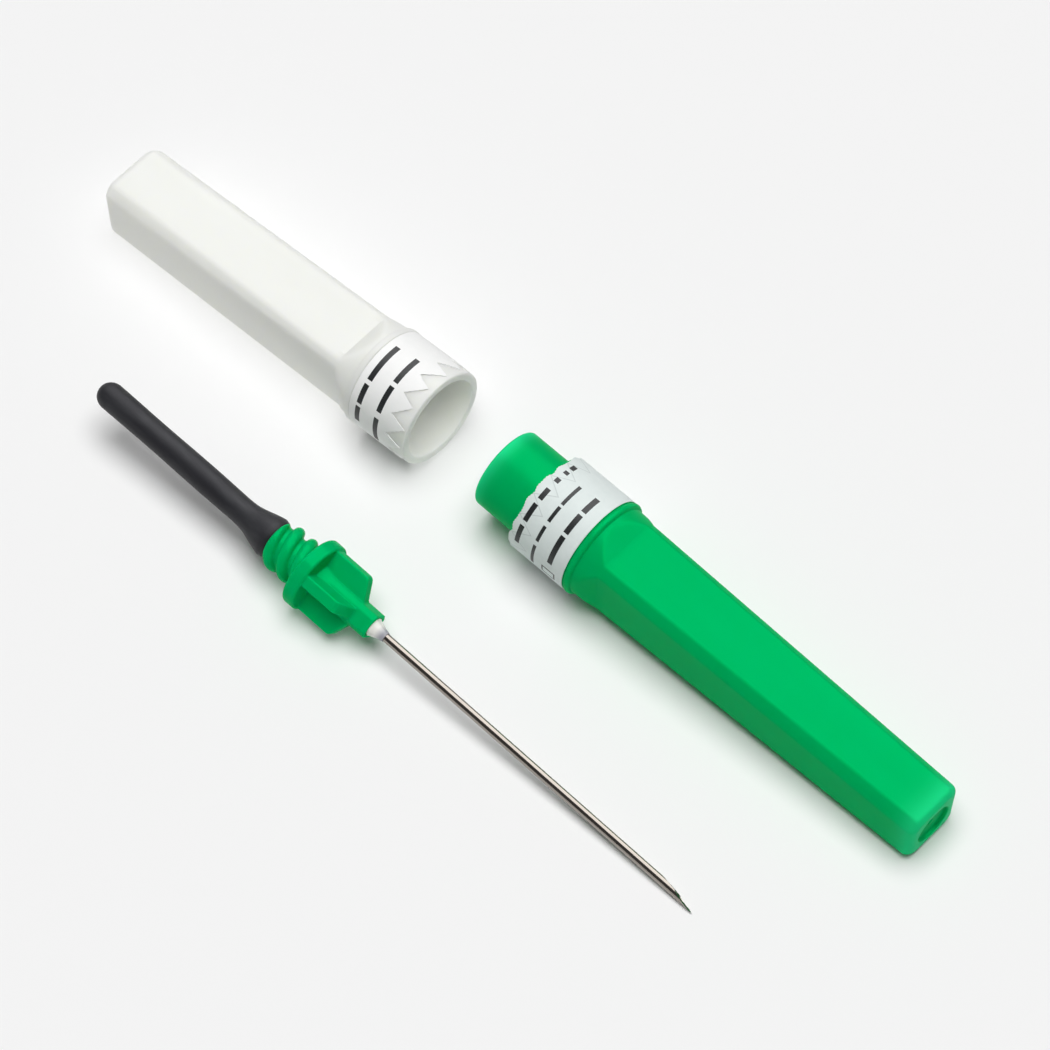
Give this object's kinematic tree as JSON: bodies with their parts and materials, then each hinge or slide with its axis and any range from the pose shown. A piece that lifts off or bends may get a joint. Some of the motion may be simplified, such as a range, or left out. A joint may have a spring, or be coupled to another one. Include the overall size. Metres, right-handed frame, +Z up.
{
  "type": "blood collection needle",
  "caption": "Double-ended blood collection needle in a green threaded hub with a black rubber sleeve, lying beside the open halves of its case.",
  "frame": {"origin": "under the middle of the overall box, on the surface that the pieces lie on", "axes": "+X along the needle towards its patient point, +Y from the needle to the two case halves, +Z up"},
  "size_m": [0.0968, 0.027, 0.0102],
  "materials": {
    "hub_plastic": "moulded green polypropylene, softly glossy",
    "needle_steel": "drawn and polished stainless tube",
    "sleeve_rubber": "matt black rubber",
    "adhesive": "milky cured glue",
    "sheath_plastic": "moulded green polypropylene, satin",
    "seal_paper": "thin cool grey-white paper",
    "cap_plastic": "moulded white translucent polypropylene, satin",
    "seal_paper_white": "thin white paper"
  },
  "bodies": {
    "root": {"hub": "hub_plastic", "cannula": "needle_steel", "rubber_sleeve": "sleeve_rubber", "adhesive_bead": "adhesive", "needle_sheath": "sheath_plastic", "sheath_label": "seal_paper", "rear_cap": "cap_plastic", "cap_label": "seal_paper_white"}
  },
  "joints": []
}
